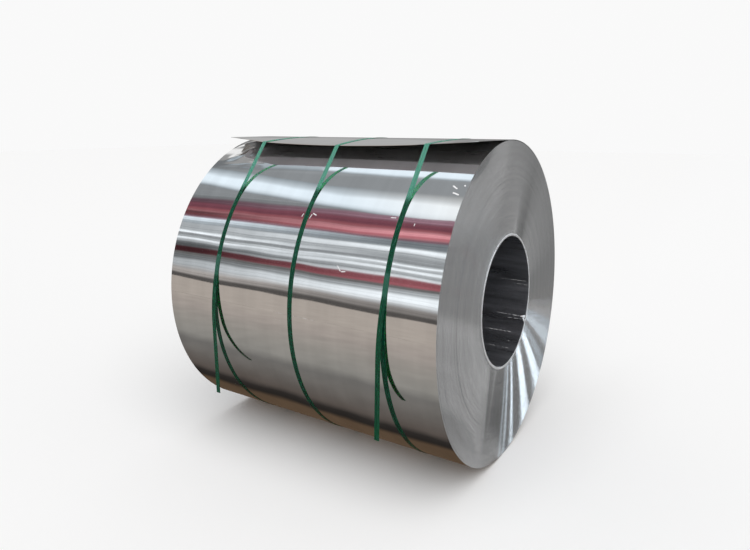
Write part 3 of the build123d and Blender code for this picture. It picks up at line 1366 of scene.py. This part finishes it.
    def build_mat(self) -> None:
        """Lay a glowing mat for the metal to mirror, with painted shade near the coil: rows along the coil,
        and sectors round its right end.
        """
        material, graph, glow = self._glowing("Grey mat", own_colours=False)
        place = graph.spot()
        x, y, _ = graph.parts(place)
        rows = self._mat_rows(graph, place, y)
        sectors, bearing = self._mat_sectors(graph, x, y)
        aside = graph.times(graph.rises(x, *self.MAT_ASIDE_X), graph.rises(y, *self.MAT_ASIDE_Y))
        at_end = graph.rises(bearing, *map(math.radians, self.MAT_END_BEARING))
        behind = graph.highest(aside, graph.times(graph.rises(y, *self.MAT_BEHIND_Y), at_end))
        shade = graph.spread(graph.noise(place, 7.0, 4.0), *self.MAT_TONES)
        graph.feed(glow.inputs["Color"], graph.scaled(graph.blend(behind, rows, sectors), shade))
        self._plane("grey_mat", self.floor_height + self.mat_lift, material, True)

    def build_tunnel(self) -> None:
        """Arch the softboxes and flags over the coil as one tunnel along its axis, in rows."""
        material, graph, glow = self._glowing("Softboxes and flags")
        _, y, z = graph.parts(graph.spot())
        over = graph.math("ARCTAN2", z, graph.times(y, -1.0))
        folds = graph.spread(graph.noise_along(over, self.fold_count), *self.fold_glows)
        low_down = graph.rises(over, *map(math.radians, self.folded_below))
        graph.feed(glow.inputs["Strength"], graph.mix(low_down, 1.0, folds))
        bm = bmesh.new()
        shade = bm.verts.layers.float_color.new("glow")
        height = math.radians(self.BANDS[0].low)
        foot = spoke(math.pi - height) * self.tunnel_radius
        row = [bm.verts.new(foot + Vector((x, 0, 0))) for x in self.TUNNEL_COLUMNS]
        edges = [bm.edges.new(pair) for pair in zip(row, row[1:])]
        for band in self.BANDS:
            for degrees in (band.low, band.high):
                if math.radians(degrees) > height:
                    made = bmesh.ops.extrude_edge_only(bm, edges=edges)["geom"]
                    row, edges = verts_of(made), edges_of(made)
                    turn = Matrix.Rotation(height - math.radians(degrees), 3, "X")
                    bmesh.ops.rotate(bm, verts=row, cent=MIDDLE, matrix=turn)
                    height = math.radians(degrees)
                for vert in row:
                    vert[shade] = band.glow_at(vert.co.x <= self.TUNNEL_LEFT)
        self._stage("softbox_tunnel", bm, material)

    def _mirrored(self, hour: float, turn: float) -> Vector:
        """Place that the camera sees mirrored in the coil's right end.

        Args:
            hour: where on that end, as on a clock.
            turn: angle in degrees by which the lap edge there is rounded over towards the axis.

        Returns:
            The place, at the fan cards' distance.
        """
        outward, turned = at_hour(hour), math.radians(turn)
        edge = Vector((self.end_place, 0, 0)) + outward * self.end_radius
        normal = Vector((math.cos(turned), 0, 0)) - outward * math.sin(turned)
        sight = (edge - Vector(self.camera_place)).normalized()
        return edge + sight.reflect(normal) * self.fan_distance

    def _card(self, name: str, material: Material, rows: list) -> None:
        """Hang a glowing card that only the metal mirrors.

        Args:
            name: the card's name.
            material: its glowing material, which reads the card's own colours.
            rows: for each row across it, the place and the colour of its two ends.
        """
        bm = bmesh.new()
        shade = bm.verts.layers.float_color.new("glow")
        bmesh.ops.create_grid(bm, x_segments=1, y_segments=len(rows) - 1, size=1)
        for vert in bm.verts:
            first, second = rows[round((vert.co.y + 1) / 2 * (len(rows) - 1))]
            vert.co, vert[shade] = first if vert.co.x < 0 else second
        self._stage(name, bm, material)

    def build_fans(self) -> None:
        """Stand narrow bright cards behind the coil, which its wound end draws out to fans."""
        material, _, _ = self._glowing("Fan cards")
        for number, card in enumerate(self.FANS):
            rows = []
            for step in range(self.fan_steps + 1):
                turn = card.low_turn + (card.high_turn - card.low_turn) * step / self.fan_steps
                hours = (card.first_hour, card.last_hour)
                rows.append([(self._mirrored(hour, turn), tinted(card.glow, SKY)) for hour in hours])
            self._card(f"fan_card_{number}", material, rows)

    def build_softboxes(self) -> None:
        """Hang the soft-edged softboxes aslant over the coil."""
        material, _, _ = self._glowing("Overhead softboxes")
        for number, softbox in enumerate(self.SOFTBOXES):
            rows = []
            for row, (aside, glow) in enumerate(softbox.rows):
                far_aside = softbox.far_asides[row] if softbox.far_asides else aside
                near = Vector(softbox.near) + Vector((0, aside, 0))
                far = Vector(softbox.far) + Vector((0, far_aside, 0))
                rows.append(((near, tinted(glow, softbox.near_tint)), (far, tinted(glow, SKY))))
            self._card(f"softbox_{number}", material, rows)

    def build_screen(self) -> None:
        """Stand a soft screen behind, so that the back of the wrap mirrors it and not the fan cards."""
        material, _, _ = self._glowing("Back screen")
        rows = []
        for height, glow in self.SCREEN_ROWS:
            places = [Vector((self.SCREEN_PLACE, side, height)) for side in self.SCREEN_SIDES]
            rows.append([(place, tinted(glow, COOL)) for place in places])
        self._card("back_screen", material, rows)

    def build_light(self) -> None:
        """Light the set evenly from a pale surround and one broad soft sun overhead."""
        world = bpy.data.worlds.new("Pale surround")
        bpy.context.scene.world = world
        world.use_nodes = True
        graph = Graph(world.node_tree)
        path = graph.node("LightPath").outputs
        seen = graph.highest(*[path[f"Is {kind} Ray"] for kind in ("Camera", "Glossy", "Transmission")])
        strength = graph.remap(seen, 0.0, 1.0, self.surround_light, self.surround_seen)
        graph.feed_all(world.node_tree.nodes["Background"], {"Color": WHITE, "Strength": strength})
        lamp = bpy.data.lights.new("overhead", "SUN")
        lamp.energy = self.sun_energy
        lamp.angle = math.radians(self.sun_spread)
        held = bpy.data.objects.new("overhead", lamp)
        held.rotation_euler = Euler((*[math.radians(tilt) for tilt in self.sun_tilt], 0))
        held.visible_glossy = False
        bpy.context.scene.collection.objects.link(held)

    def build_camera(self) -> None:
        """Stand the camera where the photograph was taken."""
        data = bpy.data.cameras.new("camera")
        data.sensor_width = 36.0
        data.lens = self.focal_pixels / self.photo_width * data.sensor_width
        data.shift_x = (self.photo_width / 2 - self.sight_x) / self.photo_width
        data.shift_y = (self.sight_y - self.photo_height / 2) / self.photo_width
        data.clip_end = 200
        camera = bpy.data.objects.new("camera", data)
        camera.location = self.camera_place
        pitch, yaw = math.radians(90 + self.camera_pitch), math.radians(self.camera_yaw)
        camera.rotation_euler = Euler((pitch, 0, yaw))
        bpy.context.scene.collection.objects.link(camera)
        bpy.context.scene.camera = camera

    def build(self) -> None:
        """Set up the whole studio."""
        bpy.context.scene.view_settings.view_transform = "Standard"
        self.build_floor()
        self.build_mat()
        self.build_tunnel()
        self.build_fans()
        self.build_softboxes()
        self.build_screen()
        self.build_light()
        self.build_camera()


def main() -> None:
    """Build the coil, its straps and the studio."""
    logging.basicConfig(level=logging.INFO, format="%(message)s")
    effects = SharedEffects()
    strip = StripFinishes.build(effects)
    coil = StripCoil.from_frame()
    coil.build_laps(strip)
    coil.build_outer_lap(strip)
    coil.build_torn_edge(strip[Surface.RIM])
    left_end = {"end": StrapEnd.HANGING, "weld_angle": 10.0, "end_length": 0.48, "end_drift": 0.014}
    right_end = {"end": StrapEnd.HANGING, "weld_angle": 12.0, "end_length": 0.49, "end_drift": -0.012}
    straps = (
        Strap.from_frame(coil, "strap_left", **left_end),
        Strap.from_frame(coil, "strap_middle"),
        Strap.from_frame(coil, "strap_right", **right_end),
    )
    green = StrapFinish().build(effects)
    for strap in straps:
        strap.build(green)
    Studio(floor_height=cad_box[0].z).build()


if __name__ == "__main__":
    main()
